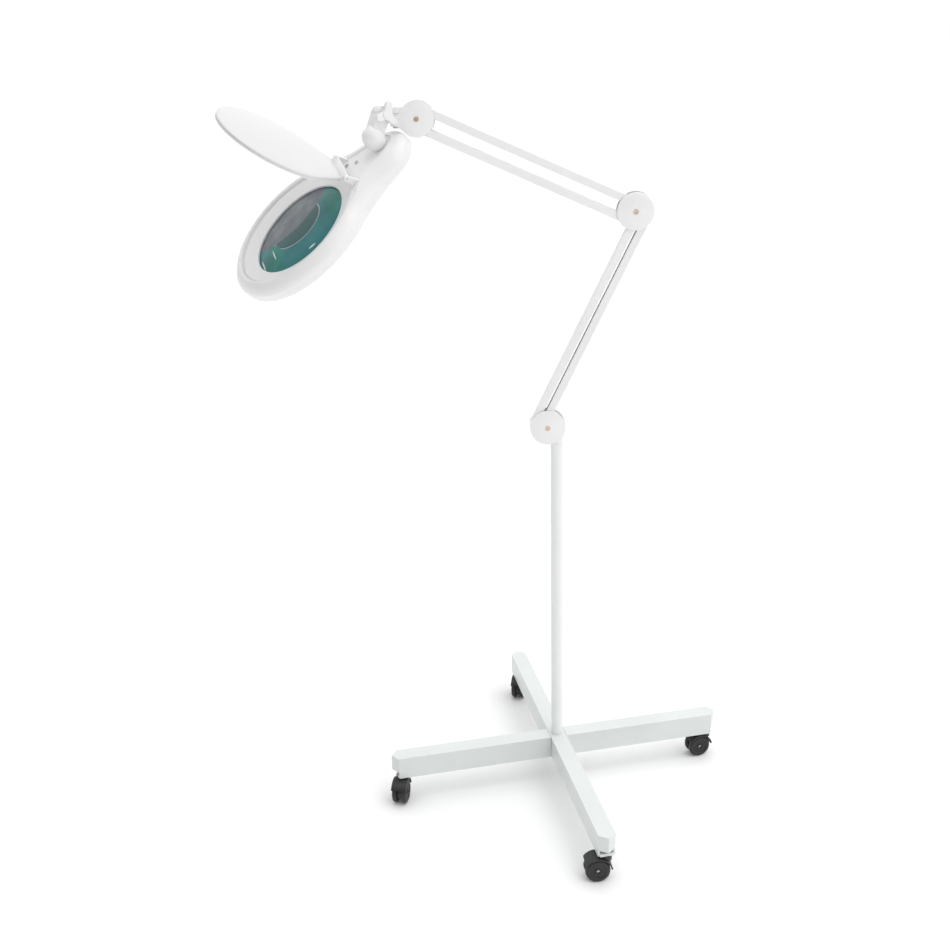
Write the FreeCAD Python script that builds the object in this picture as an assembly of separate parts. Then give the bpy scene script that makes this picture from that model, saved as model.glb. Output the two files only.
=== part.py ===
# Floor-standing magnifying lamp on a four-legged caster stand.
# Frame: origin on the floor under the post, +Z up, both arms in the XZ plane, lens end towards -X.
# Lengths are in millimetres and angles in degrees.
import FreeCAD, Part
import math
import os

Vec = FreeCAD.Vector
os.makedirs("parts", exist_ok=True)

# ---- stand ----
LEG_YAW = 14.2            # turn of the cross of legs about the post
LEG_REACH = 297.0         # post axis to a leg's pointed tip
LEG_WIDTH = 28.0
LEG_TOP = 86.0
LEG_DEPTH = 40.0
LEG_WALL = 3.0
TIP_LENGTH = 10.3         # length of the pointed end
TIP_DEPTH = 28.0          # height of the folded end flaps
CROSS_GAP = 0.6           # gap where the short legs meet the long one
HUB_PLATE = 6.0
POST_RADIUS = 10.0
POST_WALL = 1.6
POST_TOP = 630.0

# ---- casters ----
CASTER_RADIUS = 280.0     # post axis to a caster's stem
WHEEL_RADIUS = 20.0
WHEEL_WIDTH = 9.5
CASTER_TRAIL = 13.0       # stem axis to axle
CASTER_WEB = 6.0          # thickness of the body between the two wheels
CASTER_STEM = 4.5
CASTER_TANG = 2.4         # thin end of the stem, held in the web
# each leg's angle about the post, and the direction its caster trails in, both from +X
LEG_ANGLES = {"right": 0.0, "back": 90.0, "left": 180.0, "front": 270.0}
CASTER_HEADINGS = {"right": 200.0, "back": 262.0, "left": 262.0, "front": 188.0}

# ---- arm ----
BAR_WIDTH = 12.0
BAR_DEPTH = 14.0
BAR_WALL = 1.6
PIN_RADIUS = 2.5
RUNNING = 0.05            # radial clearance of a pin that turns in its hole
CHEEK_IN = 7.3            # inner face of a joint's side plates, from the arm's mid-plane
CHEEK_OUT = 8.8
COVER_RIM = 7.6           # inner edge of a joint cover
COVER_FLAT = 10.4
COVER_CROWN = 13.0
BASE_JOINT = (-14.5, 660.4)
BASE_PINS = ((-37.0, 666.9), (-20.0, 666.9))
ELBOW_JOINT = (117.0, 996.2)
ELBOW_LOW_PINS = ((119.9, 991.0), (136.9, 991.0))
ELBOW_UP_PINS = ((102.0, 1014.35), (102.0, 984.85))
HEAD_JOINT = (-203.5, 1134.7)
HEAD_PINS = ((-199.5, 1149.85), (-199.5, 1120.35))
BIG_COVER = 28.0
SMALL_COVER = 26.0

# ---- head joint: swivel, tilt and turn ----
SWIVEL_X = -233.5         # upright axis of the head swivel
SWIVEL_YAW = 40.2         # turn of the tilt plane out of the arm plane
NOSE_RADIUS = 9.5
HUB_ALONG = 26.0          # swivel axis to tilt axis
HUB_RISE = 8.5            # tilt axis above the head joint's centre
HUB_RADIUS = 11.0
TONGUE = 5.0              # half thickness of the tilt tongue
FORK_OUT = 9.6            # outer face of the fork
BALL_RADIUS = 16.4

# ---- head ----
# Local frame: P from the lens centre to the neck, N out of the viewing face, W completes it.
LENS_CENTRE = (-384.3, -25.5, 984.0)
HEAD_TURNS = (40.2, -44.0, -26.9)
RING_RADIUS = 125.5
NECK_OUTLINE = ((98.0, 82.0), (115.0, 72.0), (131.0, 63.0), (147.0, 56.0), (164.0, 51.0),
                (180.0, 45.0), (194.0, 35.5), (205.5, 18.5), (209.5, 0.0))
HEAD_BOTTOM = -19.5
HEAD_CREST = 12.0         # top of the ring's rim
NECK_CREST = 15.2         # top of the rim along the neck
PARTING = -3.0
SHELL_WALL = 2.6
LENS_OPENING = 82.0
LENS_RADIUS = 89.0
LENS_EDGE_TOP = -5.0
LENS_EDGE_BOTTOM = -8.5
LENS_BULGE = 9.5
STEP_RADIUS = 107.0
NECK_FLOOR = 12.5         # recessed top face of the neck
BALL_P = 172.0            # centre of the crook's ball foot
BALL_N = 30.3
BUTTON_P = 128.0

# ---- lid ----
LID_OPEN = 68.4           # opening angle the lamp is stored at
LID_HINGE_P = 108.0
LID_HINGE_N = 27.0
LID_CENTRE_P = 4.0        # place of the closed lid's centre
LID_RADIUS = 89.2
LID_RIM_N = 23.7          # height of the dome's edge when closed
LID_SKIRT = 6.0
LID_DOME = 12.1
LID_WALL = 2.0
BARREL_HALF = 34.0        # half length of the lid's hinge barrel
HINGE_RADIUS = 4.2
HINGE_PIN = 1.5


def box(x0, x1, y0, y1, z0, z1):
    return Part.makeBox(x1 - x0, y1 - y0, z1 - z0, Vec(x0, y0, z0))


def ycyl(radius, y0, y1, centre):
    """Cylinder along Y at an (x, z) centre."""
    return Part.makeCylinder(radius, y1 - y0, Vec(centre[0], y0, centre[1]), Vec(0, 1, 0))


def zcyl(radius, z0, z1, x=0.0, y=0.0):
    return Part.makeCylinder(radius, z1 - z0, Vec(x, y, z0))


def fuse(shapes):
    joined = shapes[0].multiFuse(shapes[1:]) if len(shapes) > 1 else shapes[0]
    return joined.removeSplitter()


def cut(shape, tools):
    for tool in tools:
        shape = shape.cut(tool)
    return shape


def prism(points, direction):
    """Closed polygon of 3-D points pushed along a vector."""
    wire = Part.makePolygon([Vec(*p) for p in points] + [Vec(*points[0])])
    return Part.Face(wire).extrude(Vec(*direction))


def xz_prism(points, y0, y1):
    return prism([(x, y0, z) for x, z in points], (0, y1 - y0, 0))


def revolve_z(points):
    """Polygon of (radius, z) turned about Z."""
    wire = Part.makePolygon([Vec(r, 0, z) for r, z in points] + [Vec(points[0][0], 0, points[0][1])])
    return Part.Face(wire).revolve(Vec(0, 0, 0), Vec(0, 0, 1), 360)


def tangent_hull(centre_a, radius_a, centre_b, radius_b, y0, y1):
    """Plate around two circles and their outer tangents, in the XZ plane."""
    dx = centre_b[0] - centre_a[0]
    dz = centre_b[1] - centre_a[1]
    reach = math.hypot(dx, dz)
    along = math.atan2(dz, dx)
    spread = math.acos((radius_a - radius_b) / reach)
    points = []
    for centre, radius, side in ((centre_a, radius_a, 1), (centre_b, radius_b, 1),
                                 (centre_b, radius_b, -1), (centre_a, radius_a, -1)):
        angle = along + side * spread
        points.append((centre[0] + radius * math.cos(angle), centre[1] + radius * math.sin(angle)))
    web = xz_prism(points, y0, y1)
    return fuse([web, ycyl(radius_a, y0, y1, centre_a), ycyl(radius_b, y0, y1, centre_b)])


def mirror_y(shape):
    return shape.mirror(Vec(0, 0, 0), Vec(0, 1, 0))


def compound(shapes):
    return Part.makeCompound(shapes) if len(shapes) > 1 else shapes[0]


nodes = {}

# ---------------------------------------------------------------- stand
yaw = FreeCAD.Rotation(Vec(0, 0, 1), LEG_YAW)
stand_turn = FreeCAD.Placement(Vec(0, 0, 0), yaw)


def turned(shape, placement):
    moved = shape.copy()
    moved.Placement = placement.multiply(moved.Placement)
    return moved


half = LEG_WIDTH / 2
leg_bottom = LEG_TOP - LEG_DEPTH
shoulder = LEG_REACH - TIP_LENGTH


def leg_outline(start, inset):
    """Plan of one leg along +X with its pointed tip, shrunk by inset."""
    return [(start, -half + inset), (shoulder, -half + inset), (LEG_REACH - inset * 1.4, 0.0),
            (shoulder, half - inset), (start, half - inset)]


def leg_channel(start):
    outer = prism([(x, y, leg_bottom) for x, y in leg_outline(start, 0.0)], (0, 0, LEG_DEPTH))
    inner = prism([(x, y, leg_bottom - 1) for x, y in leg_outline(start - 1, LEG_WALL)],
                  (0, 0, LEG_DEPTH + 1 - LEG_WALL))
    flap_cut = box(shoulder, LEG_REACH + 1, -half - 1, half + 1, leg_bottom - 1, LEG_TOP - TIP_DEPTH)
    return cut(outer, [inner, flap_cut])


plate_top = LEG_TOP - LEG_WALL
plate_bottom = plate_top - HUB_PLATE
inner_half = half - LEG_WALL
arm_reach = 70.0
hub_plate = fuse([box(-arm_reach, arm_reach, -inner_half, inner_half, plate_bottom, plate_top),
                  box(-inner_half, inner_half, -arm_reach, arm_reach, plate_bottom, plate_top)])
hub_plate = hub_plate.cut(zcyl(6.2, plate_bottom - 1, plate_top + 1))

front_leg = turned(leg_channel(0.0), FreeCAD.Placement(Vec(0, 0, 0), FreeCAD.Rotation(Vec(0, 0, 1), -90)))
back_leg = turned(leg_channel(0.0), FreeCAD.Placement(Vec(0, 0, 0), FreeCAD.Rotation(Vec(0, 0, 1), 90)))
main_channel = fuse([front_leg, back_leg])
plate_window = box(-half - 1, half + 1, -inner_half, inner_half, leg_bottom - 1, plate_top)
main_channel = cut(main_channel, [plate_window, zcyl(6.2, LEG_TOP - 5, LEG_TOP + 1)])
side_leg = leg_channel(half + CROSS_GAP)
other_leg = turned(side_leg, FreeCAD.Placement(Vec(0, 0, 0), FreeCAD.Rotation(Vec(0, 0, 1), 180)))
nodes["long_leg_channel"] = turned(main_channel, stand_turn)
nodes["short_leg_right"] = turned(side_leg, stand_turn)
nodes["short_leg_left"] = turned(other_leg, stand_turn)
nodes["hub_plate"] = turned(hub_plate, stand_turn)

strap = box(CASTER_RADIUS - 14, CASTER_RADIUS + 9, -inner_half, inner_half, leg_bottom, leg_bottom + 5)
strap = strap.cut(zcyl(CASTER_STEM + RUNNING, leg_bottom - 1, leg_bottom + 6, CASTER_RADIUS))
straps = []
for angle in LEG_ANGLES.values():
    spin = FreeCAD.Placement(Vec(0, 0, 0), FreeCAD.Rotation(Vec(0, 0, 1), LEG_YAW + angle))
    straps.append(turned(strap, spin))
nodes["caster_straps"] = compound(straps)

post = zcyl(POST_RADIUS, LEG_TOP, POST_TOP).cut(zcyl(POST_RADIUS - POST_WALL, LEG_TOP - 1, POST_TOP + 1))
gland_z = LEG_TOP + 34
gland_bore = Part.makeCylinder(4.0, 8, Vec(0, 5, gland_z), Vec(0, 1, 0))
nodes["post"] = post.cut(gland_bore)
post_inner = POST_RADIUS - POST_WALL
post_foot = fuse([zcyl(post_inner, LEG_TOP, LEG_TOP + 22), zcyl(6.0, plate_bottom - 16, LEG_TOP)])
nodes["post_foot"] = post_foot
foot_nut = prism([(10.5 * math.cos(math.radians(a)), 10.5 * math.sin(math.radians(a)), plate_bottom - 11)
                  for a in range(0, 360, 60)], (0, 0, 8.5))
foot_washer = zcyl(11.0, plate_bottom - 2.5, plate_bottom).cut(zcyl(6.2, plate_bottom - 3, plate_bottom + 1))
nodes["foot_nut"] = foot_nut.cut(zcyl(6.0, plate_bottom - 12, plate_bottom))
nodes["foot_washer"] = foot_washer
gland = Part.makeCylinder(4.0, 3.6, Vec(0, 8.0, gland_z), Vec(0, 1, 0))
gland = gland.fuse(Part.makeCylinder(6.0, 1.6, Vec(0, 10.05, gland_z), Vec(0, 1, 0)))
gland = gland.cut(Part.makeCylinder(2.6, 8, Vec(0, 6, gland_z), Vec(0, 1, 0)))
nodes["cord_gland"] = gland.removeSplitter()

bush_top = POST_TOP + 2.5
spigot_radius = 5.0
bush = fuse([zcyl(post_inner, POST_TOP - 34, POST_TOP), zcyl(POST_RADIUS, POST_TOP, bush_top)])
nodes["post_bush"] = bush.cut(zcyl(spigot_radius + RUNNING, POST_TOP - 40, bush_top + 1))

# ---------------------------------------------------------------- casters
caster_top = leg_bottom - 0.6
tang_top = 2 * WHEEL_RADIUS + 1.2


def caster(stem_x, stem_y, heading):
    """Hood, stem with axle, and twin wheels, built along +X then turned to the heading."""
    axle = (CASTER_TRAIL, WHEEL_RADIUS)
    web_half = CASTER_WEB / 2
    wheel_out = web_half + 0.5 + WHEEL_WIDTH
    web = ycyl(15.0, -web_half, web_half, axle)
    neck = xz_prism([(-9, caster_top), (-9, 34), (2, 14), (20, 20), (22, caster_top - 12),
                     (12, caster_top)], -web_half, web_half)
    collar = zcyl(10.5, caster_top - 9, caster_top)
    fender = ycyl(23.6, -wheel_out, wheel_out, axle)
    fender = fender.cut(ycyl(21.2, -wheel_out - 1, wheel_out + 1, axle))
    fender = fender.common(xz_prism([axle, (-30, 26), (-30, 60), (34, 60), (38, 36)],
                                    -wheel_out, wheel_out))
    hood = fuse([web, neck, collar, fender])
    wheel_space = ycyl(20.9, web_half, wheel_out + 1, axle)
    hood = cut(hood, [wheel_space, mirror_y(wheel_space), ycyl(3.0, -20, 20, axle),
                      zcyl(CASTER_STEM, tang_top, caster_top + 1), zcyl(CASTER_TANG, 28, tang_top)])
    stem = fuse([zcyl(CASTER_STEM, tang_top, leg_bottom + 22), zcyl(CASTER_TANG, 28, tang_top),
                 zcyl(6.5, leg_bottom + 5.3, leg_bottom + 7.3)])
    axle_pin = ycyl(3.0, -wheel_out + 2.5, wheel_out - 2.5, axle)
    r = WHEEL_RADIUS
    w = WHEEL_WIDTH
    profile = [(3.05, 0), (r - 3.5, 0), (r - 0.6, 1.2), (r, 3.5), (r, w - 4.0), (r - 1.0, w - 1.5),
               (r - 3.5, w - 0.3), (r - 6, w), (r - 8, w - 1.6), (5.5, w - 1.6), (5.0, w - 0.6),
               (3.05, w - 0.6)]
    wheel = revolve_z(profile)
    side = FreeCAD.Placement(Vec(axle[0], web_half + 0.4, axle[1]), FreeCAD.Rotation(Vec(1, 0, 0), -90))
    wheel = turned(wheel, side)
    place = FreeCAD.Placement(Vec(stem_x, stem_y, 0), FreeCAD.Rotation(Vec(0, 0, 1), heading))
    parts = [hood, compound([stem, axle_pin]), compound([wheel, mirror_y(wheel)])]
    return [turned(p, place) for p in parts]


for name, angle in LEG_ANGLES.items():
    a = math.radians(LEG_YAW + angle)
    pieces = caster(CASTER_RADIUS * math.cos(a), CASTER_RADIUS * math.sin(a), CASTER_HEADINGS[name])
    for label, piece in zip(("hood", "stem_axle", "wheels"), pieces):
        nodes["caster_%s_%s" % (name, label)] = piece

# ---------------------------------------------------------------- joint covers and side plates


def domed_cover(centre, radius):
    """Shallow domed disc on the +Y side, crown outwards."""
    rim = radius
    arc_mid = Vec(radius * 0.55, COVER_CROWN - 0.75, 0)
    edges = [
        Part.makeLine(Vec(0, CHEEK_OUT, 0), Vec(0, COVER_CROWN, 0)),
        Part.Arc(Vec(0, COVER_CROWN, 0), arc_mid, Vec(radius - 2.5, COVER_FLAT, 0)).toShape(),
        Part.Arc(Vec(radius - 2.5, COVER_FLAT, 0), Vec(radius - 0.6, COVER_FLAT - 0.8, 0),
                 Vec(rim, COVER_FLAT - 2.0, 0)).toShape(),
        Part.makeLine(Vec(rim, COVER_FLAT - 2.0, 0), Vec(rim, COVER_RIM, 0)),
        Part.makeLine(Vec(rim, COVER_RIM, 0), Vec(rim - 1.6, COVER_RIM, 0)),
        Part.makeLine(Vec(rim - 1.6, COVER_RIM, 0), Vec(rim - 1.6, CHEEK_OUT, 0)),
        Part.makeLine(Vec(rim - 1.6, CHEEK_OUT, 0), Vec(0, CHEEK_OUT, 0)),
    ]
    face = Part.Face(Part.Wire(edges))
    disc = face.revolve(Vec(0, 0, 0), Vec(0, 1, 0), 360)
    disc.translate(Vec(centre[0], 0, centre[1]))
    return disc


def screw_cut(centre):
    """Hole and seat for a cover screw."""
    return [ycyl(1.6, 5, 20, centre), ycyl(3.8, COVER_CROWN - 1.0, 20, centre)]


def cover_screw(centre):
    """Cross-head screw with its shank in the side plate."""
    head = ycyl(3.5, COVER_CROWN - 1.0, COVER_CROWN + 0.7, centre)
    shank = ycyl(1.5, CHEEK_IN + 0.1, COVER_CROWN - 1.0, centre)
    x, z = centre
    slot_a = box(x - 2.3, x + 2.3, COVER_CROWN - 0.1, 20, z - 0.45, z + 0.45)
    slot_b = box(x - 0.45, x + 0.45, COVER_CROWN - 0.1, 20, z - 2.3, z + 2.3)
    return cut(head.fuse(shank).removeSplitter(), [slot_a, slot_b])


def add_pair(name, shape):
    """Same piece on the near (-Y) and far (+Y) side of the arm."""
    nodes[name + "_near"] = mirror_y(shape)
    nodes[name + "_far"] = shape


def pins(centres):
    return [ycyl(PIN_RADIUS, -CHEEK_OUT, CHEEK_OUT, c) for c in centres]


def cheek_holes(centres, screw_centre):
    holes = [ycyl(PIN_RADIUS, 0, 20, c) for c in centres]
    return holes + [ycyl(1.5, 0, 20, screw_centre)]


# base joint
base_plate = tangent_hull(BASE_JOINT, BIG_COVER - 2.0, BASE_PINS[0], 5.2, CHEEK_IN, CHEEK_OUT)
base_plate = cut(base_plate, cheek_holes(BASE_PINS, BASE_JOINT))
yoke_bottom = bush_top + 0.3
yoke_top = BASE_JOINT[1] - 10.4
yoke_neck = zcyl(POST_RADIUS, yoke_bottom, yoke_top)
yoke_block = box(-26.0, 9.0, -CHEEK_IN, CHEEK_IN, yoke_top - 8, yoke_top + 3)
near_plate = mirror_y(base_plate)
base_yoke = fuse([yoke_neck, yoke_block, base_plate, near_plate])
spigot_hole = zcyl(spigot_radius, yoke_bottom - 1, yoke_bottom + 14)
nodes["base_yoke"] = base_yoke.cut(spigot_hole)
nodes["base_spigot"] = zcyl(spigot_radius, POST_TOP - 33, yoke_bottom + 14)
nodes["base_pins"] = compound(pins(BASE_PINS))
base_skirt = tangent_hull(BASE_JOINT, BIG_COVER, BASE_PINS[0], 6.6, CHEEK_OUT, CHEEK_OUT + 1.2)
neck_space = zcyl(POST_RADIUS + 0.2, POST_TOP - 30, yoke_top + 0.2)
base_cover = cut(fuse([domed_cover(BASE_JOINT, BIG_COVER), base_skirt]), screw_cut(BASE_JOINT))
base_cover = cut(base_cover, [neck_space, base_plate])
add_pair("base_cover", base_cover)
base_screw = cover_screw(BASE_JOINT)
nodes["base_cover_screws"] = compound([base_screw, mirror_y(base_screw)])

# elbow joint
elbow_pins = ELBOW_LOW_PINS + ELBOW_UP_PINS
elbow_plate = fuse([ycyl(BIG_COVER - 2.0, CHEEK_IN, CHEEK_OUT, ELBOW_JOINT)])
elbow_plate = cut(elbow_plate, cheek_holes(elbow_pins, ELBOW_JOINT))
nodes["elbow_plates"] = compound([elbow_plate, mirror_y(elbow_plate)])
nodes["elbow_pins"] = compound(pins(elbow_pins))
elbow_cover = cut(domed_cover(ELBOW_JOINT, BIG_COVER), screw_cut(ELBOW_JOINT))
add_pair("elbow_cover", elbow_cover)
elbow_screw = cover_screw(ELBOW_JOINT)
nodes["elbow_cover_screws"] = compound([elbow_screw, mirror_y(elbow_screw)])

# head joint
nose_bottom = HEAD_JOINT[1] - 9.6
nose_top = HEAD_JOINT[1] + 8.2
tail = (SWIVEL_X + 4.0, HEAD_JOINT[1] - 2.6)
head_plate = tangent_hull(HEAD_JOINT, SMALL_COVER - 2.0, tail, 7.0, CHEEK_IN, CHEEK_OUT)
head_plate = cut(head_plate, cheek_holes(HEAD_PINS, HEAD_JOINT))
nose = zcyl(NOSE_RADIUS, nose_bottom, nose_top, SWIVEL_X)
nose_web = box(SWIVEL_X, HEAD_JOINT[0] - 8.0, -CHEEK_IN, CHEEK_IN, nose_bottom, nose_top)
swivel_space = zcyl(11.0, nose_top, nose_top + 30, SWIVEL_X)
head_yoke = fuse([nose, nose_web, head_plate, mirror_y(head_plate)]).cut(swivel_space)
swivel_pin_radius = 3.5
swivel_bore = zcyl(swivel_pin_radius + RUNNING, nose_bottom - 5, nose_top + 5, SWIVEL_X)
nodes["head_yoke"] = head_yoke.cut(swivel_bore)
nodes["head_yoke_pins"] = compound(pins(HEAD_PINS))
head_skirt = tangent_hull(HEAD_JOINT, SMALL_COVER, tail, 7.0, CHEEK_OUT, CHEEK_OUT + 1.2)
head_cover = fuse([domed_cover(HEAD_JOINT, SMALL_COVER), head_skirt])
head_cover = cut(head_cover, screw_cut(HEAD_JOINT) + [head_plate, nose, swivel_space])
add_pair("head_cover", head_cover)
head_screw = cover_screw(HEAD_JOINT)
nodes["head_cover_screws"] = compound([head_screw, mirror_y(head_screw)])

# ---------------------------------------------------------------- arm bars


def bar(start, end, eye_start, eye_end, open_side):
    """Folded channel bar between two pins; open_side is +1 or -1 across the bar."""
    length = math.hypot(end[0] - start[0], end[1] - start[1])
    solid_end = 19.0
    half_width = BAR_WIDTH / 2
    half_depth = BAR_DEPTH / 2
    body = box(solid_end - 6, length - solid_end + 6, -half_depth, half_depth, -half_width, half_width)
    long_edges = [e for e in body.Edges if e.Length > 100]
    body = body.makeFillet(1.4, long_edges)
    hollow = box(solid_end, length - solid_end, -half_depth + BAR_WALL, half_depth - BAR_WALL,
                 -half_width + BAR_WALL, half_width + 1)
    if open_side < 0:
        hollow = hollow.mirror(Vec(0, 0, 0), Vec(0, 0, 1))
    body = body.cut(hollow)
    shapes = [body]
    for x, radius, direction in ((0.0, eye_start, 1), (length, eye_end, -1)):
        x0, x1 = sorted((x, x + direction * (solid_end - 5)))
        shapes.append(ycyl(radius, -half_depth, half_depth, (x, 0.0)))
        shapes.append(box(x0, x1, -half_depth, half_depth, -radius, radius))
    whole = fuse(shapes)
    whole = cut(whole, [ycyl(PIN_RADIUS + RUNNING, -10, 10, (0.0, 0.0)),
                        ycyl(PIN_RADIUS + RUNNING, -10, 10, (length, 0.0))])
    angle = math.degrees(math.atan2(end[1] - start[1], end[0] - start[0]))
    place = FreeCAD.Placement(Vec(start[0], 0, start[1]), FreeCAD.Rotation(Vec(0, 1, 0), -angle))
    return turned(whole, place)


nodes["lower_bar_left"] = bar(BASE_PINS[0], ELBOW_LOW_PINS[0], 6.0, 6.0, -1)
nodes["lower_bar_right"] = bar(BASE_PINS[1], ELBOW_LOW_PINS[1], 6.0, 6.0, 1)
nodes["upper_bar_top"] = bar(ELBOW_UP_PINS[0], HEAD_PINS[0], 5.4, 6.0, 1)
nodes["upper_bar_bottom"] = bar(ELBOW_UP_PINS[1], HEAD_PINS[1], 5.4, 6.0, 1)

# ---------------------------------------------------------------- head swivel, tilt and turn
# Local frame of the tilt plane: X along the arm of the joint, Y its normal (tilt axis), Z up,
# origin on the swivel axis at the height of the head joint's centre; +Y faces the near side.
tilt_place = FreeCAD.Placement(Vec(SWIVEL_X, 0, HEAD_JOINT[1]),
                               FreeCAD.Rotation(Vec(0, 0, 1), 180 + SWIVEL_YAW))
hub = (HUB_ALONG, HUB_RISE)
cap_bottom = 8.6
cap_top = 16.5
cap = zcyl(10.5, cap_bottom, cap_top).cut(zcyl(30, cap_top - 2.0, 40).cut(zcyl(8.5, 0, 50)))
tongue = ycyl(HUB_RADIUS, -TONGUE, TONGUE, hub)
arm_web = xz_prism([(0, cap_bottom), (0, cap_top), (12, cap_top + 1.5), (hub[0], hub[1] + 10.5),
                    (hub[0], hub[1] - 4), (14, cap_bottom)], -TONGUE, TONGUE)
swivel_block = fuse([cap, tongue, arm_web])
stud_radius = 3.0
swivel_block = cut(swivel_block, [ycyl(stud_radius + RUNNING, -20, 20, hub),
                                  zcyl(swivel_pin_radius, 0, cap_top - 3)])
swivel_pin = fuse([zcyl(swivel_pin_radius, -9.9, cap_top - 3), zcyl(6.0, -12.4, -9.9)])
nodes["swivel_block"] = turned(swivel_block, tilt_place)
nodes["swivel_pin"] = turned(swivel_pin, tilt_place)

head_turn = FreeCAD.Rotation(Vec(0, 0, 1), HEAD_TURNS[0])
head_turn = head_turn.multiply(FreeCAD.Rotation(Vec(0, 1, 0), HEAD_TURNS[1]))
head_turn = head_turn.multiply(FreeCAD.Rotation(Vec(0, 0, 1), HEAD_TURNS[2]))
head_place = FreeCAD.Placement(Vec(*LENS_CENTRE), head_turn)

ball_base = NECK_FLOOR + 0.35
ball_top = BALL_N + 15.6
ball_profile = [
    Part.makeLine(Vec(0, 0, ball_base), Vec(11.5, 0, ball_base)),
    Part.Arc(Vec(11.5, 0, ball_base), Vec(15.4, 0, BALL_N - 9), Vec(BALL_RADIUS, 0, BALL_N)).toShape(),
    Part.Arc(Vec(BALL_RADIUS, 0, BALL_N), Vec(11.6, 0, BALL_N + 11.6), Vec(5, 0, ball_top)).toShape(),
    Part.makeLine(Vec(5, 0, ball_top), Vec(0, 0, ball_top)),
    Part.makeLine(Vec(0, 0, ball_top), Vec(0, 0, ball_base)),
]
ball_foot = Part.Face(Part.Wire(ball_profile)).revolve(Vec(0, 0, 0), Vec(0, 0, 1), 360)
ball_foot.translate(Vec(BALL_P, 0, 0))
ball_foot = turned(ball_foot, head_place)
ball_middle = tilt_place.inverse().multVec(head_place.multVec(Vec(BALL_P, 0, BALL_N)))
crook = tangent_hull(hub, HUB_RADIUS + 0.6, (ball_middle.x, ball_middle.z), 9.5, -FORK_OUT, FORK_OUT)
slot = ycyl(HUB_RADIUS + 1.0, -TONGUE - 0.3, TONGUE + 0.3, hub)
slot_mouth = xz_prism([(hub[0] + 9.5, hub[1] + 7.6), (hub[0] - 40, hub[1] + 40),
                       (hub[0] - 40, hub[1] - 15), (hub[0] - 10, hub[1] - 8)],
                      -TONGUE - 0.3, TONGUE + 0.3)
crook = cut(crook, [slot, slot_mouth, ycyl(stud_radius + 0.2, -20, 20, hub)])
crook = crook.cut(ycyl(6.2, -20, -FORK_OUT + 2.2, hub))
turn_pin_radius = 4.0
head_arch = fuse([turned(crook, tilt_place), ball_foot])
neck_clear = box(BALL_P - 60, BALL_P + 60, -60, 60, -60, ball_base)
turn_bore = zcyl(turn_pin_radius, -30, ball_base + 12, BALL_P)
head_arch = cut(head_arch, [turned(neck_clear, head_place), turned(turn_bore, head_place)])
nodes["head_arch"] = head_arch
nut_points = [(hub[0] + 5.5 * math.cos(math.radians(a)), hub[1] + 5.5 * math.sin(math.radians(a)))
              for a in range(0, 360, 60)]
tilt_nut = xz_prism(nut_points, -FORK_OUT - 2.6, -FORK_OUT + 2.2)
nodes["tilt_nut"] = turned(tilt_nut.cut(ycyl(stud_radius + RUNNING, -20, 20, hub)), tilt_place)

# three-lobed clamp knob on the near side, with its threaded stud
lobe_reach = 13.5
knob_in = FORK_OUT + 0.5
knob_out = knob_in + 9.0
knob_shapes = [ycyl(7.8, knob_in, knob_out, hub)]
for lobe_angle in (104.5, -15.5, -135.5):
    a = math.radians(lobe_angle)
    tip = (hub[0] + lobe_reach * math.cos(a), hub[1] + lobe_reach * math.sin(a))
    knob_shapes.append(tangent_hull(hub, 6.5, tip, 5.0, knob_in + 2.0, knob_out - 1.2))
knob = fuse(knob_shapes)
knob = knob.cut(ycyl(stud_radius, 0, knob_out - 3.0, hub))
nodes["clamp_knob"] = turned(knob, tilt_place)
nodes["clamp_stud"] = turned(ycyl(stud_radius, -FORK_OUT - 2.0, knob_out - 3.0, hub), tilt_place)

# ---------------------------------------------------------------- head


def outline_point(angle):
    """Point of the head's plan at an angle from +P, ring and neck together."""
    neck = [(math.degrees(math.atan2(w, p)), math.hypot(p, w)) for p, w in NECK_OUTLINE]
    neck.append((57.0, RING_RADIUS + 0.4))
    neck.sort()
    turn = abs(angle)
    if turn >= neck[-1][0]:
        reach = RING_RADIUS
    else:
        reach = RING_RADIUS
        for (a0, r0), (a1, r1) in zip(neck, neck[1:]):
            if a0 <= turn <= a1:
                reach = r0 + (r1 - r0) * (turn - a0) / (a1 - a0)
    return reach * math.cos(math.radians(angle)), reach * math.sin(math.radians(angle))


plan_angles = [0, 3, 6.5, 10.5, 14, 17.5, 21.5, 27, 34, 42, 50, 60, 72, 86, 100, 116, 132, 148, 164]
plan_angles = plan_angles + [180] + [-a for a in reversed(plan_angles[1:])]


def head_section(height, inset):
    """Closed smooth wire of the head's plan at a height, pulled in by inset."""
    raw = [outline_point(a) for a in plan_angles]
    points = []
    count = len(raw)
    for i in range(count):
        before = raw[i - 1]
        after = raw[(i + 1) % count]
        tx = after[0] - before[0]
        ty = after[1] - before[1]
        size = math.hypot(tx, ty)
        points.append(Vec(raw[i][0] - inset * ty / size, raw[i][1] + inset * tx / size, height))
    curve = Part.BSplineCurve()
    curve.interpolate(points, PeriodicFlag=True)
    return Part.Wire(curve.toShape())


def head_loft(levels):
    return Part.makeLoft([head_section(h, inset) for h, inset in levels], True, False)


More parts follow.
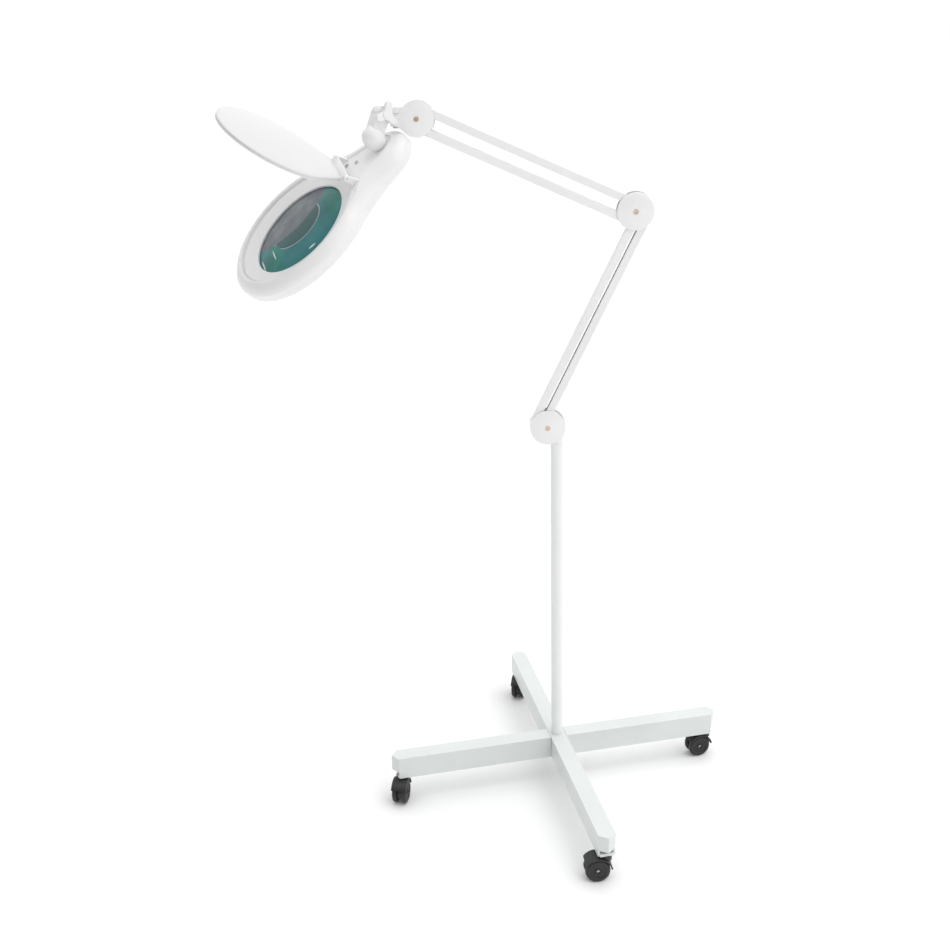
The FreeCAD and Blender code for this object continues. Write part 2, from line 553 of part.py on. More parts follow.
outer_low = head_loft([(HEAD_BOTTOM, 8.0), (-18.6, 4.5), (-16.0, 1.8), (-10.0, 0.4), (PARTING, 0.0)])
outer_high = head_loft([(PARTING, 0.0), (1.0, 0.9), (4.6, 3.2), (7.8, 6.8), (10.4, 11.0),
                        (12.2, 15.4), (14.0, 19.0), (NECK_CREST, 22.5)])
above_ring = xz_prism([(-140, HEAD_CREST), (104, HEAD_CREST), (124, NECK_CREST + 0.3), (124, 40),
                       (-140, 40)], -140, 140)
outer_high = outer_high.cut(above_ring)
inner_low = head_loft([(-16.6, 11.0), (-13.0, 5.0), (PARTING + 1, 3.0)])
roof_low = NECK_FLOOR - SHELL_WALL
inner_high = head_loft([(PARTING - 1, 3.2), (3.0, 6.2), (7.4, 12.0), (roof_low, 17.0)])


# upper shell: dished bezel round the lens, recessed neck top, hinge lugs
bezel_space = revolve_z([(0, -40), (LENS_OPENING, -40), (LENS_OPENING, 0.0), (102.5, 6.6),
                         (104.5, 6.6), (104.5, 5.4), (106.0, 5.4), (STEP_RADIUS, 10.6),
                         (110.0, 11.8), (110.4, 40), (0, 40)])
under_bezel = revolve_z([(86.0, -40), (86.0, -0.9), (101.0, 3.6), (101.0, -40)])
neck_pocket = head_loft([(NECK_FLOOR, 29.5), (NECK_CREST + 0.6, 25.5)]).common(box(0, 300, -200, 200, 0, 60))
neck_pocket = neck_pocket.cut(zcyl(STEP_RADIUS - 1, -50, 60))
ball_seat = zcyl(BALL_RADIUS + 3.0, NECK_FLOOR, 60, BALL_P)
cavity_high = inner_high.cut(zcyl(109.0, -60, 60))
upper_shell = cut(outer_high, [bezel_space, under_bezel, neck_pocket, ball_seat, cavity_high])


def across_w(radius, w0, w1, p, n):
    """Cylinder along W at (p, n)."""
    return Part.makeCylinder(radius, w1 - w0, Vec(p, w0, n), Vec(0, 1, 0))


lugs = []
for w0 in (-BARREL_HALF - 6.0, BARREL_HALF + 0.3):
    lug = xz_prism([(LID_HINGE_P + 12, NECK_FLOOR - 1), (LID_HINGE_P + 4.0, LID_HINGE_N),
                    (LID_HINGE_P - 4.1, LID_HINGE_N), (LID_HINGE_P + 1.0, NECK_FLOOR - 1)], w0, w0 + 5.7)
    lugs.append(lug)
    lugs.append(across_w(HINGE_RADIUS, w0, w0 + 5.7, LID_HINGE_P, LID_HINGE_N))
upper_shell = fuse([upper_shell] + lugs)
upper_shell = upper_shell.cut(across_w(HINGE_PIN, -50, 50, LID_HINGE_P, LID_HINGE_N))
pin_clear = turn_pin_radius + RUNNING
upper_shell = upper_shell.cut(zcyl(pin_clear, -60, 60, BALL_P))
screw_spots = ((113.6, 22.5), (128.4, 11.0))
for p, w in screw_spots:
    upper_shell = cut(upper_shell, [zcyl(1.5, 0, 40, p, w)])

# lower shell: floor with a window for the light, wall round the lens, button hole
lower_shell = outer_low.cut(inner_low.cut(zcyl(111.5, -60, 60)))
window = revolve_z([(93.0, -40), (93.0, -10), (109.0, -10), (109.0, -40)])
web_top = revolve_z([(92.0, -7.5), (92.0, 10), (109.0, 10), (109.0, -7.5)])
lens_ledge = LENS_EDGE_BOTTOM - 0.7
lens_hole = revolve_z([(0, -40), (86.0, -40), (86.0, lens_ledge), (LENS_RADIUS + 0.3, lens_ledge),
                      (LENS_RADIUS + 0.3, 10), (0, 10)])
button_hole = zcyl(6.4, -40, -10, BUTTON_P)
lower_shell = cut(lower_shell, [window, web_top, lens_hole, button_hole])

bulge_radius = (LENS_RADIUS ** 2 + LENS_BULGE ** 2) / (2 * LENS_BULGE)
upper_ball = Part.makeSphere(bulge_radius, Vec(0, 0, LENS_EDGE_TOP + LENS_BULGE - bulge_radius))
lower_ball = Part.makeSphere(bulge_radius, Vec(0, 0, LENS_EDGE_BOTTOM - LENS_BULGE + bulge_radius))
lens = zcyl(LENS_RADIUS, -40, 40).common(upper_ball).common(lower_ball)
light_board = revolve_z([(93.5, -11.6), (93.5, -10.0), (108.5, -10.0), (108.5, -11.6)])
diffuser = revolve_z([(93.1, HEAD_BOTTOM + 0.6), (93.1, -13.2), (95.0, -13.2), (95.0, -17.0),
                      (107.0, -17.0), (107.0, -13.2), (108.9, -13.2), (108.9, HEAD_BOTTOM + 0.6)])
turn_pin = fuse([zcyl(turn_pin_radius, roof_low - 2.0, ball_base + 12, BALL_P),
                 zcyl(8.0, roof_low - 3.3, roof_low - 0.3, BALL_P)])
screws = []
for p, w in screw_spots:
    screw = zcyl(1.5, NECK_FLOOR - 6.0, NECK_FLOOR, p, w).fuse(zcyl(3.0, NECK_FLOOR, NECK_FLOOR + 1.6, p, w))
    slot_p = box(p - 2.0, p + 2.0, w - 0.4, w + 0.4, NECK_FLOOR + 0.8, NECK_FLOOR + 3)
    slot_w = box(p - 0.4, p + 0.4, w - 2.0, w + 2.0, NECK_FLOOR + 0.8, NECK_FLOOR + 3)
    screws.append(cut(screw.removeSplitter(), [slot_p, slot_w]))
button = fuse([zcyl(6.0, HEAD_BOTTOM - 2.6, -16.3, BUTTON_P), zcyl(7.4, -16.3, -14.6, BUTTON_P)])

nodes["head_shell_upper"] = turned(upper_shell, head_place)
nodes["head_shell_lower"] = turned(lower_shell, head_place)
nodes["lens"] = turned(lens, head_place)
nodes["light_board"] = turned(light_board, head_place)
nodes["light_diffuser"] = turned(diffuser, head_place)
nodes["turn_pin"] = turned(turn_pin, head_place)
nodes["head_screws"] = compound([turned(s, head_place) for s in screws])
nodes["lid_hinge_pin"] = turned(across_w(HINGE_PIN, -40, 40, LID_HINGE_P, LID_HINGE_N), head_place)
nodes["switch_button"] = turned(button, head_place)

# ---------------------------------------------------------------- lid, built closed and then opened
rim = LID_RIM_N
skirt_low = rim - LID_SKIRT
crown = rim + LID_DOME
t = LID_WALL
lid_edges = [
    Part.makeLine(Vec(0, 0, crown), Vec(6, 0, crown)),
    Part.Arc(Vec(6, 0, crown), Vec(50, 0, rim + LID_DOME * 0.69), Vec(LID_RADIUS - 1.2, 0, rim)).toShape(),
    Part.makeLine(Vec(LID_RADIUS - 1.2, 0, rim), Vec(LID_RADIUS, 0, rim - 1.2)),
    Part.makeLine(Vec(LID_RADIUS, 0, rim - 1.2), Vec(LID_RADIUS, 0, skirt_low)),
    Part.makeLine(Vec(LID_RADIUS, 0, skirt_low), Vec(LID_RADIUS - t, 0, skirt_low)),
    Part.makeLine(Vec(LID_RADIUS - t, 0, skirt_low), Vec(LID_RADIUS - t, 0, rim - 1.6)),
    Part.Arc(Vec(LID_RADIUS - t, 0, rim - 1.6), Vec(50, 0, rim + LID_DOME * 0.69 - t - 0.3),
             Vec(6, 0, crown - t)).toShape(),
    Part.makeLine(Vec(6, 0, crown - t), Vec(0, 0, crown - t)),
    Part.makeLine(Vec(0, 0, crown - t), Vec(0, 0, crown)),
]
lid = Part.Face(Part.Wire(lid_edges)).revolve(Vec(0, 0, 0), Vec(0, 0, 1), 360)
lid.translate(Vec(LID_CENTRE_P, 0, 0))
hinge_tab = xz_prism([(LID_CENTRE_P + 50, rim + 0.8), (LID_CENTRE_P + 50, rim - 2.2),
                      (LID_HINGE_P - 3.0, rim - 2.2), (LID_HINGE_P + 3.6, LID_HINGE_N - 1.8),
                      (LID_HINGE_P - 2.0, LID_HINGE_N + 3.6)], -BARREL_HALF, BARREL_HALF)
lid_inside = zcyl(LID_RADIUS - 0.5, 0, 60, LID_CENTRE_P)
barrel = across_w(HINGE_RADIUS, -BARREL_HALF, BARREL_HALF, LID_HINGE_P, LID_HINGE_N)
lid = fuse([lid, hinge_tab.cut(lid_inside), barrel])
lid = lid.cut(across_w(HINGE_PIN + RUNNING, -60, 60, LID_HINGE_P, LID_HINGE_N))
lid.rotate(Vec(LID_HINGE_P, 0, LID_HINGE_N), Vec(0, 1, 0), LID_OPEN)
nodes["lid"] = turned(lid, head_place)

for node, shape in nodes.items():
    shape.exportStep("parts/%s.step" % node)
    print("%-26s solids %d volume %9.0f valid %s" % (node, len(shape.Solids), shape.Volume, shape.isValid()))
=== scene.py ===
# Floor-standing magnifying lamp: looks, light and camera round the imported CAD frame. Metres, +Z up.
import math

import bmesh
import bpy
from mathutils import Matrix, Vector


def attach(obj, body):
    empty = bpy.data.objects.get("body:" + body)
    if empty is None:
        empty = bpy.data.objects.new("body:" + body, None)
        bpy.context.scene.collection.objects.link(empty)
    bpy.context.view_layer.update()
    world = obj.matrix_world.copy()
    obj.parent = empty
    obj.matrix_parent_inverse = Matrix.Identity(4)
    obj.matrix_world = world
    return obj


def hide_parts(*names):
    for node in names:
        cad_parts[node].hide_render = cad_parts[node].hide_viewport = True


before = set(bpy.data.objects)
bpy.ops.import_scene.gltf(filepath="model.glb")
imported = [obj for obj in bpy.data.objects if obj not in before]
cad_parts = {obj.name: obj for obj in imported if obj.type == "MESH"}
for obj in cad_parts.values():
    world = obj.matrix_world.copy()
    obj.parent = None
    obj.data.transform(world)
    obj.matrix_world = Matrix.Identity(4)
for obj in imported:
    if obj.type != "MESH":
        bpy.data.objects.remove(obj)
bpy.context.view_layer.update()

# ---------------------------------------------------------------- driving figures
# camera: degrees round the lamp, above the horizon and rolled, then metres from the aim point
VIEW_AZIMUTH = 3.02
VIEW_ELEVATION = 20.81
VIEW_ROLL = -1.61
VIEW_DISTANCE = 1.8276
FOCAL_MM = 42.6
AIM_SIDE = -0.1330
AIM_HEIGHT = 0.5802

# head frame: P towards the neck, W across it, N out of the viewing face
LENS_CENTRE = Vector((-0.3843, -0.0255, 0.984))
HEAD_TURN = (Matrix.Rotation(math.radians(40.2), 4, "Z")
             @ Matrix.Rotation(math.radians(-44.0), 4, "Y")
             @ Matrix.Rotation(math.radians(-26.9), 4, "Z"))

# zones of painted shade, painted reflection and painted highlight on the glass, as (P, W) places and
# sizes in the lens plane
# the pale arc is a painted reflection of the shade's rim seen through the glass
ARC_CENTRE = (-0.001, 0.008)
ARC_RADIUS = 0.0442
ARC_HALF_WIDTH = 0.0004
PAINTED_SHADE_CENTRE = (-0.010, 0.0744)
PAINTED_SHADE_RADIUS = 0.0745
# each painted reflection pool or painted highlight streak is an ellipse: its centre, then its half width
# along P and along W
PAINTED_REFLECTION_POOLS = (((0.067, -0.001), 0.017, 0.040),
         ((-0.057, -0.023), 0.018, 0.034))
# painted highlights: short bright streaks painted on the glass
PAINTED_HIGHLIGHTS = (((-0.053, -0.014), 0.0013, 0.016),
           ((-0.077, -0.011), 0.0016, 0.018),
           ((0.008, -0.067), 0.0075, 0.0022))

# lid as it lies closed, in the head frame: its centre, hinge and the disc's own measures
LID_CENTRE_P = 0.004
LID_HINGE = Vector((0.108, 0.0, 0.027))
LID_OPEN = math.radians(68.4)
LID_RADIUS = 0.0892
LID_RIM_N = 0.0237
LID_DOME = 0.0121
LID_SKIRT = 0.006
LID_WALL = 0.002
LID_END = Vector((0.0975, 0.0335))     # from the centre to a corner of the straight hinge end
GROOVE_DEPTH = 0.0008
DOME_SHARE = 0.97                      # where the dome stops and the rounded edge starts
DOME_STEPS = 24
LID_STEPS = 240
BARREL_RADIUS = 0.0042
BARREL_HALF = 0.034
BARREL_STEPS = 25
BARREL_FIRST = 118.0                   # degrees round the barrel where its curve starts, and each step
BARREL_TURN = 11.5
BARREL_CHAMFER = 0.0006
WEB_OVERLAP = 0.001                    # how far the barrel's web reaches into the disc

# studio: the sky goes from dim to full by the cosine between a direction and its bright side
FLOOR_HALF = 30.0
SKY_BRIGHT_SIDE = Vector((0.50, 0.60, 0.60))
SKY_DIM = 0.34
SKY_DIM_COSINE = -0.40
SKY_FULL_COSINE = 0.33
SUN_PLACE = (0.9, -0.4, 4.0)
SUN_STRENGTH = 0.9
SUN_SPREAD = math.radians(60)
SOFTBOX_PLACE = (1.8, -2.2, 2.6)
SOFTBOX_AIM = (-0.1, 0, 0.8)
SOFTBOX_WATTS = 7
SOFTBOX_SIZE = 1.6


# ---------------------------------------------------------------- material nodes
def new_material(name):
    material = bpy.data.materials.new(name)
    material.use_nodes = True
    tree = material.node_tree
    return material, tree, tree.nodes["Principled BSDF"]


def add_noise(tree, scale, detail=4.0, roughness=0.5):
    """Noise in object space, so that it stays with the piece."""
    coords = tree.nodes.new("ShaderNodeTexCoord")
    noise = tree.nodes.new("ShaderNodeTexNoise")
    noise.inputs["Scale"].default_value = scale
    noise.inputs["Detail"].default_value = detail
    noise.inputs["Roughness"].default_value = roughness
    tree.links.new(coords.outputs["Object"], noise.inputs["Vector"])
    return noise


def ramp(tree, source, low, high):
    """Colour from low to high over the middle of a noise's range."""
    node = tree.nodes.new("ShaderNodeValToRGB")
    node.color_ramp.elements[0].position = 0.3
    node.color_ramp.elements[1].position = 0.7
    node.color_ramp.elements[0].color = low
    node.color_ramp.elements[1].color = high
    tree.links.new(source, node.inputs["Fac"])
    return node


def grey(value):
    return (value, value, value, 1.0)


def shaded(name, low, high, rough, rough_spread=0.06, metallic=0.0, coat=0.0, scale=9.0,
           grain=900.0, grain_depth=0.04):
    """Painted, moulded or metal surface with soft mottling, uneven gloss and fine grain."""
    material, tree, shader = new_material(name)
    shader.inputs["Metallic"].default_value = metallic
    shader.inputs["Coat Weight"].default_value = coat
    shader.inputs["Coat Roughness"].default_value = 0.12
    mottle = add_noise(tree, scale)
    colour = ramp(tree, mottle.outputs["Fac"], low, high)
    tree.links.new(colour.outputs["Color"], shader.inputs["Base Color"])
    wear = add_noise(tree, scale * 6.0, 6.0, 0.6)
    gloss = ramp(tree, wear.outputs["Fac"], grey(rough - rough_spread), grey(rough + rough_spread))
    tree.links.new(gloss.outputs["Color"], shader.inputs["Roughness"])
    fine = add_noise(tree, grain, 3.0)
    bump = tree.nodes.new("ShaderNodeBump")
    bump.inputs["Strength"].default_value = grain_depth
    bump.inputs["Distance"].default_value = 0.0002
    tree.links.new(fine.outputs["Fac"], bump.inputs["Height"])
    tree.links.new(bump.outputs["Normal"], shader.inputs["Normal"])
    return material


def maths(tree, operation, *values, clamp=False):
    """Maths node fed by sockets or plain numbers."""
    node = tree.nodes.new("ShaderNodeMath")
    node.operation = operation
    node.use_clamp = clamp
    for slot, value in zip(node.inputs, values):
        if isinstance(value, (int, float)):
            slot.default_value = value
        else:
            tree.links.new(value, slot)
    return node.outputs[0]


def lens_axis(tree, point, axis):
    """Distance of the shaded point from the lens centre along one axis of the head."""
    from_centre = tree.nodes.new("ShaderNodeVectorMath")
    from_centre.operation = "SUBTRACT"
    from_centre.inputs[1].default_value = LENS_CENTRE
    tree.links.new(point, from_centre.inputs[0])
    along = tree.nodes.new("ShaderNodeVectorMath")
    along.operation = "DOT_PRODUCT"
    along.inputs[1].default_value = HEAD_TURN.to_3x3() @ Vector(axis)
    tree.links.new(from_centre.outputs[0], along.inputs[0])
    return along.outputs["Value"]


def reach_from(tree, p, w, centre, half_p=1.0, half_w=1.0):
    """Distance in the lens plane from a centre; with half widths, 1 on the edge of that ellipse."""
    dp = maths(tree, "DIVIDE", maths(tree, "SUBTRACT", p, centre[0]), half_p)
    dw = maths(tree, "DIVIDE", maths(tree, "SUBTRACT", w, centre[1]), half_w)
    square = maths(tree, "ADD", maths(tree, "MULTIPLY", dp, dp), maths(tree, "MULTIPLY", dw, dw))
    return maths(tree, "SQRT", square)


def outside(tree, distance, radius, softness):
    """0 inside a radius and 1 outside it, over a soft edge."""
    return maths(tree, "DIVIDE", maths(tree, "SUBTRACT", distance, radius), softness, clamp=True)


def blend_in(tree, below, above, factor):
    """Mix from one colour to another by a factor socket."""
    mix = tree.nodes.new("ShaderNodeMix")
    mix.data_type = "RGBA"
    for slot, value in ((mix.inputs[6], below), (mix.inputs[7], above)):
        if isinstance(value, tuple):
            slot.default_value = value
        else:
            tree.links.new(value, slot)
    tree.links.new(factor, mix.inputs[0])
    return mix.outputs[2]


# ---------------------------------------------------------------- materials
ENAMEL = shaded("white_enamel", (0.82, 0.84, 0.83, 1), (0.86, 0.88, 0.87, 1), 0.36, coat=0.15,
                grain=700.0, grain_depth=0.10)
STAND = shaded("stand_enamel", (0.70, 0.735, 0.73, 1), (0.74, 0.775, 0.765, 1), 0.34, coat=0.15,
               grain=700.0, grain_depth=0.10)
BAR_PAINT = shaded("bar_paint", (0.86, 0.86, 0.855, 1), (0.90, 0.90, 0.895, 1), 0.38, coat=0.1,
                   grain=800.0, grain_depth=0.02)
GLOSS = shaded("gloss_white", (0.725, 0.72, 0.72, 1), (0.75, 0.745, 0.745, 1), 0.30, 0.012,
               coat=0.2, grain=900.0, grain_depth=0.02)
SHELL = shaded("shell_white", (0.83, 0.825, 0.825, 1), (0.85, 0.845, 0.845, 1), 0.32, 0.012,
               coat=0.1, grain=900.0, grain_depth=0.015)
COVER = shaded("cover_white", (0.87, 0.865, 0.865, 1), (0.90, 0.895, 0.895, 1), 0.3, 0.03,
               coat=0.3, grain=500.0, grain_depth=0.04)
BLACK = shaded("black_plastic", (0.010, 0.010, 0.011, 1), (0.018, 0.018, 0.019, 1), 0.42, 0.08,
               grain=1400.0, grain_depth=0.25)
TREAD = shaded("wheel_black", (0.012, 0.012, 0.013, 1), (0.024, 0.024, 0.025, 1), 0.5, 0.1,
               grain=900.0, grain_depth=0.3)
STEEL = shaded("steel", (0.50, 0.50, 0.50, 1), (0.62, 0.62, 0.61, 1), 0.32, 0.08, metallic=1.0,
               grain=1600.0, grain_depth=0.1)
BRASS = shaded("brass", (0.56, 0.42, 0.32, 1), (0.78, 0.62, 0.50, 1), 0.22, 0.06, metallic=1.0,
               scale=60.0, grain=1500.0, grain_depth=0.08)
RUBBER = shaded("rubber", (0.015, 0.015, 0.015, 1), (0.03, 0.03, 0.03, 1), 0.7, 0.08,
                grain=1200.0, grain_depth=0.3)
DIFFUSER = shaded("diffuser", (0.78, 0.79, 0.78, 1), (0.84, 0.85, 0.84, 1), 0.55, 0.05,
                  grain=2200.0, grain_depth=0.3)
BOARD = shaded("circuit_board", (0.60, 0.64, 0.60, 1), (0.66, 0.70, 0.66, 1), 0.4, 0.05)


def lens_material():
    """Thick magnifier glass with light painted into its colour: painted shade in the middle, a sea-green
    tint, painted reflections and painted highlights.
    """
    material, tree, shader = new_material("lens_glass")
    shader.inputs["Transmission Weight"].default_value = 0.12
    shader.inputs["IOR"].default_value = 1.45
    shader.inputs["Roughness"].default_value = 0.06
    shader.inputs["Specular IOR Level"].default_value = 0.2
    shader.inputs["Coat Weight"].default_value = 0.06
    shader.inputs["Coat Roughness"].default_value = 0.03
    point = tree.nodes.new("ShaderNodeTexCoord").outputs["Object"]
    p = lens_axis(tree, point, (1, 0, 0))
    w = lens_axis(tree, point, (0, 1, 0))
    cloud = add_noise(tree, 26.0, 3.0).outputs["Fac"]
    # painted shade: the shaded inside of the head as seen through the glass
    painted_shade_colour = ramp(tree, cloud, (0.085, 0.11, 0.14, 1), (0.22, 0.25, 0.265, 1)).outputs["Color"]
    sea = ramp(tree, cloud, (0.022, 0.18, 0.20, 1), (0.05, 0.26, 0.27, 1)).outputs["Color"]
    # painted reflection: the deep teal of the pools at both ends
    reflection_pool_colour = ramp(tree, cloud, (0.010, 0.15, 0.135, 1), (0.030, 0.31, 0.25, 1)).outputs["Color"]
    # murky is painted shade inside the arc; the pale colour is a painted reflection of the shade's rim
    murky = (0.045, 0.135, 0.14, 1)
    painted_rim_line_colour = (0.45, 0.56, 0.58, 1)
    # painted highlight: the colour of the bright streaks
    highlight_colour = (0.75, 0.86, 0.86, 1)

    # the sea-green band fills the lower side: the glass's own green tint, laid out where the view
    # through the glass shows it, with a murky crescent of painted shade inside a pale arc, a painted
    # reflection of the shade's rim
    from_arc = reach_from(tree, p, w, ARC_CENTRE)
    colour = blend_in(tree, murky, sea, outside(tree, from_arc, ARC_RADIUS, softness=0.0012))
    off_arc = maths(tree, "ABSOLUTE", maths(tree, "SUBTRACT", from_arc, ARC_RADIUS))
    off_line = outside(tree, off_arc, ARC_HALF_WIDTH, softness=0.0007)
    on_line = maths(tree, "SUBTRACT", 1.0, off_line)
    colour = blend_in(tree, colour, painted_rim_line_colour, on_line)

    # painted shade in the middle, standing in for the shaded inside seen through the glass, runs up to
    # the rim on the other side
    from_painted_shade = reach_from(tree, p, w, PAINTED_SHADE_CENTRE)
    colour = blend_in(tree, painted_shade_colour, colour, outside(tree, from_painted_shade, PAINTED_SHADE_RADIUS, softness=0.0030))

    # painted reflections as deep teal pools at both ends, and painted highlights as short bright streaks
    # on the glass
    for reflection_pool in PAINTED_REFLECTION_POOLS:
        from_reflection_pool = reach_from(tree, p, w, *reflection_pool)
        colour = blend_in(tree, reflection_pool_colour, colour, outside(tree, from_reflection_pool, 1.0, softness=0.05))
    for highlight_spot in PAINTED_HIGHLIGHTS:
        from_highlight_spot = reach_from(tree, p, w, *highlight_spot)
        colour = blend_in(tree, highlight_colour, colour, outside(tree, from_highlight_spot, 0.6, softness=0.4))
    tree.links.new(colour, shader.inputs["Base Color"])
    return material


LENS = lens_material()

looks = {
    ENAMEL: ["base_yoke", "head_yoke", "swivel_block", "post", "post_bush"],
    STAND: ["long_leg_channel", "short_leg_right", "short_leg_left", "hub_plate", "caster_straps"],
    BAR_PAINT: ["lower_bar_left", "lower_bar_right", "upper_bar_top", "upper_bar_bottom"],
    COVER: ["base_cover_near", "base_cover_far", "elbow_cover_near", "elbow_cover_far",
            "head_cover_near", "head_cover_far"],
    GLOSS: ["lid"],
    SHELL: ["head_shell_upper", "head_shell_lower", "clamp_knob", "switch_button", "head_arch"],
    STEEL: ["post_foot", "foot_nut", "foot_washer", "base_spigot", "base_pins", "elbow_pins",
            "head_yoke_pins", "swivel_pin", "clamp_stud", "tilt_nut", "turn_pin", "lid_hinge_pin",
            "elbow_plates", "head_screws"],
    BRASS: ["base_cover_screws", "elbow_cover_screws", "head_cover_screws"],
    RUBBER: ["cord_gland"],
    DIFFUSER: ["light_diffuser"],
    BOARD: ["light_board"],
    LENS: ["lens"],
    BLACK: [],
    TREAD: [],
}
for corner in ("right", "back", "left", "front"):
    looks[BLACK].append("caster_%s_hood" % corner)
    looks[TREAD].append("caster_%s_wheels" % corner)
    looks[STEEL].append("caster_%s_stem_axle" % corner)

for material, names in looks.items():
    for name in names:
        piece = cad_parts[name]
        piece.data.materials.clear()
        piece.data.materials.append(material)


# ---------------------------------------------------------------- lid
def lid_reach(angle):
    """Distance from the lid's centre to its edge: a circle drawn out to the straight hinge end."""
    turn = abs(math.atan2(math.sin(angle), math.cos(angle)))
    corner = math.atan2(LID_END.y, LID_END.x)
    touch = corner + math.acos(LID_RADIUS / LID_END.length)
    if turn < corner:
        return LID_END.x / math.cos(turn)
    if turn < touch:
        return LID_RADIUS / math.cos(turn - touch)
    return LID_RADIUS


def lid_profile():
    """Half section from the crown to the inside: (share of the reach, step in from the edge, height)."""
    dome = []
    for i in range(1, DOME_STEPS + 1):
        share = DOME_SHARE * i / DOME_STEPS
        dome.append((share, 0.0, LID_RIM_N + LID_DOME * (1 - share ** 2)))
    rim = [(0.0016, 0.0002), (0.0007, -0.0004), (0.0002, -0.0010), (0.0, -0.0018)]
    groove = [(0.0, -0.0026), (GROOVE_DEPTH, -0.0029), (GROOVE_DEPTH, -0.0036), (0.0, -0.0039)]
    foot = [(0.0, -LID_SKIRT), (LID_WALL, -LID_SKIRT), (LID_WALL, -0.0022)]
    edge = [(1.0, step, LID_RIM_N + rise) for step, rise in rim + groove + foot]
    inside = [(share, 0.0, height - LID_WALL) for share, _, height in reversed(dome[:-1])]
    return dome + edge + inside


def add_band(shape, first, second):
    """Faces between two rings of the same number of points."""
    count = len(first)
    for i in range(count):
        j = (i + 1) % count
        shape.faces.new((first[i], first[j], second[j], second[i]))


def add_dome(shape):
    """The lid's domed disc, closed by a point at the crown outside and inside."""
    rings = []
    for share, step, height in lid_profile():
        ring = []
        for i in range(LID_STEPS):
            angle = 2 * math.pi * i / LID_STEPS
            reach = share * lid_reach(angle) - step
            place = (LID_CENTRE_P + reach * math.cos(angle), reach * math.sin(angle), height)
            ring.append(shape.verts.new(place))
        rings.append(ring)
    for first, second in zip(rings, rings[1:]):
        add_band(shape, first, second)
    crown = LID_RIM_N + LID_DOME
    for ring, height in ((rings[0], crown), (rings[-1], crown - LID_WALL)):
        pole = shape.verts.new((LID_CENTRE_P, 0.0, height))
        for i in range(LID_STEPS):
            shape.faces.new((ring[i], ring[(i + 1) % LID_STEPS], pole))


def add_barrel(shape):
    """The rounded hinge barrel with its short web to the lid, chamfered at both ends."""
    web = LID_CENTRE_P + LID_END.x - WEB_OVERLAP
    outline = [Vector((web, LID_RIM_N - 0.0034)), Vector((web, LID_RIM_N - 0.0004))]
    for i in range(BARREL_STEPS):
        angle = math.radians(BARREL_FIRST - BARREL_TURN * i)
        outline.append(Vector((LID_HINGE.x + BARREL_RADIUS * math.cos(angle),
                               LID_HINGE.z + BARREL_RADIUS * math.sin(angle))))
    middle = Vector((LID_HINGE.x - 0.002, LID_HINGE.z - 0.002))
    full = BARREL_HALF - BARREL_CHAMFER
    ends = []
    for across, shrink in ((-BARREL_HALF, BARREL_CHAMFER), (-full, 0.0), (full, 0.0),
                           (BARREL_HALF, BARREL_CHAMFER)):
        ring = []
        for spot in outline:
            inward = spot + (middle - spot).normalized() * shrink
            ring.append(shape.verts.new((inward.x, across, inward.y)))
        ends.append(ring)
    for first, second in zip(ends, ends[1:]):
        add_band(shape, first, second)
    shape.faces.new(ends[0])
    shape.faces.new(ends[-1])


def build_lid():
    """Domed lid with a grooved rim, whose straight end runs into its hinge barrel."""
    shape = bmesh.new()
    add_dome(shape)
    add_barrel(shape)
    bmesh.ops.recalc_face_normals(shape, faces=shape.faces)
    mesh = bpy.data.meshes.new("lid_cover")
    shape.to_mesh(mesh)
    shape.free()
    opened = (Matrix.Translation(LENS_CENTRE) @ HEAD_TURN @ Matrix.Translation(LID_HINGE)
              @ Matrix.Rotation(LID_OPEN, 4, "Y") @ Matrix.Translation(-LID_HINGE))
    mesh.transform(opened)
    for face in mesh.polygons:
        face.use_smooth = True
    mesh.set_sharp_from_angle(angle=math.radians(40))
    mesh.materials.append(GLOSS)
    cover = bpy.data.objects.new("lid_cover", mesh)
    bpy.context.scene.collection.objects.link(cover)
    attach(cover, "lid")
    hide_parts("lid")


build_lid()


# ---------------------------------------------------------------- floor, light and camera
def build_floor():
    material, _, shader = new_material("floor")
    shader.inputs["Base Color"].default_value = (0.95, 0.95, 0.95, 1)
    shader.inputs["Roughness"].default_value = 0.9
    mesh = bpy.data.meshes.new("floor")
    corners = [(-FLOOR_HALF, -FLOOR_HALF, 0), (FLOOR_HALF, -FLOOR_HALF, 0),
               (FLOOR_HALF, FLOOR_HALF, 0), (-FLOOR_HALF, FLOOR_HALF, 0)]
    mesh.from_pydata(corners, [], [(0, 1, 2, 3)])
    mesh.materials.append(material)
    floor = bpy.data.objects.new("floor", mesh)
    bpy.context.scene.collection.objects.link(floor)


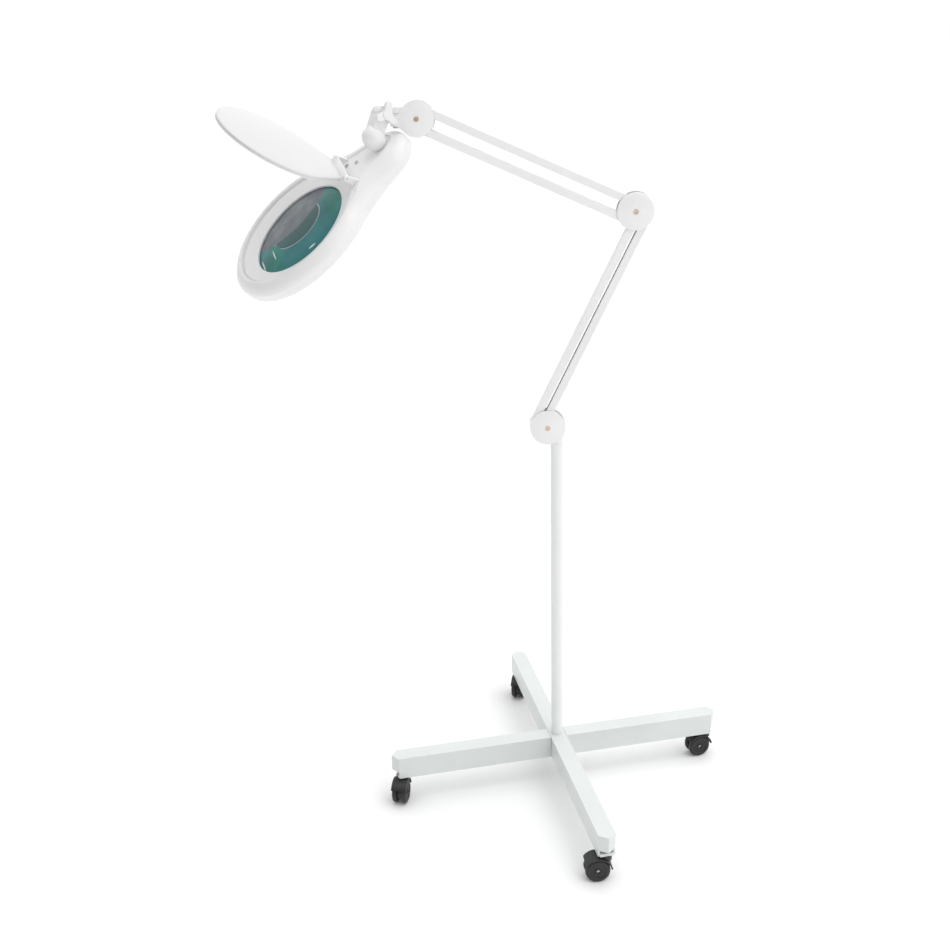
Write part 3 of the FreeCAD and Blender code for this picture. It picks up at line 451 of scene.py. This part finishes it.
def build_sky():
    """A studio that is brightest above, behind and to the right, and dimmer in front and on the left."""
    world = bpy.data.worlds.new("studio")
    bpy.context.scene.world = world
    world.use_nodes = True
    sky = world.node_tree
    backdrop = sky.nodes["Background"]
    backdrop.inputs["Strength"].default_value = 1.0
    direction = sky.nodes.new("ShaderNodeTexCoord")
    cosine = sky.nodes.new("ShaderNodeVectorMath")
    cosine.operation = "DOT_PRODUCT"
    cosine.inputs[1].default_value = SKY_BRIGHT_SIDE.normalized()
    sky.links.new(direction.outputs["Generated"], cosine.inputs[0])
    brightness = sky.nodes.new("ShaderNodeMapRange")
    brightness.inputs["From Min"].default_value = SKY_DIM_COSINE
    brightness.inputs["From Max"].default_value = SKY_FULL_COSINE
    brightness.inputs["To Min"].default_value = SKY_DIM
    brightness.inputs["To Max"].default_value = 1.0
    sky.links.new(cosine.outputs["Value"], brightness.inputs["Value"])
    sky.links.new(brightness.outputs["Result"], backdrop.inputs["Color"])


def place_light(name, kind, place, aim, power):
    data = bpy.data.lights.new(name, kind)
    data.energy = power
    light = bpy.data.objects.new(name, data)
    light.location = place
    light.rotation_euler = (Vector(aim) - Vector(place)).to_track_quat("-Z", "Y").to_euler()
    bpy.context.scene.collection.objects.link(light)
    return data


def place_camera():
    azimuth = math.radians(VIEW_AZIMUTH)
    elevation = math.radians(VIEW_ELEVATION)
    roll = math.radians(VIEW_ROLL)
    back = Vector((math.sin(azimuth) * math.cos(elevation), -math.cos(azimuth) * math.cos(elevation),
                   math.sin(elevation)))
    side = Vector((math.cos(azimuth), math.sin(azimuth), 0.0))
    rise = back.cross(side)
    right = side * math.cos(roll) + rise * math.sin(roll)
    up = rise * math.cos(roll) - side * math.sin(roll)
    aim = side * AIM_SIDE + Vector((0, 0, AIM_HEIGHT))
    data = bpy.data.cameras.new("camera")
    data.sensor_width = 36.0
    data.lens = FOCAL_MM
    data.clip_end = 100.0
    camera = bpy.data.objects.new("camera", data)
    turn = Matrix((right, up, back)).transposed().to_4x4()
    camera.matrix_world = Matrix.Translation(aim + back * VIEW_DISTANCE) @ turn
    bpy.context.scene.collection.objects.link(camera)
    bpy.context.scene.camera = camera


build_floor()
build_sky()
overhead = place_light("overhead", "SUN", SUN_PLACE, (0, 0, 0), SUN_STRENGTH)
overhead.angle = SUN_SPREAD
softbox = place_light("softbox", "AREA", SOFTBOX_PLACE, SOFTBOX_AIM, SOFTBOX_WATTS)
softbox.shape = "DISK"
softbox.size = SOFTBOX_SIZE
place_camera()
bpy.context.scene.view_settings.view_transform = "Standard"
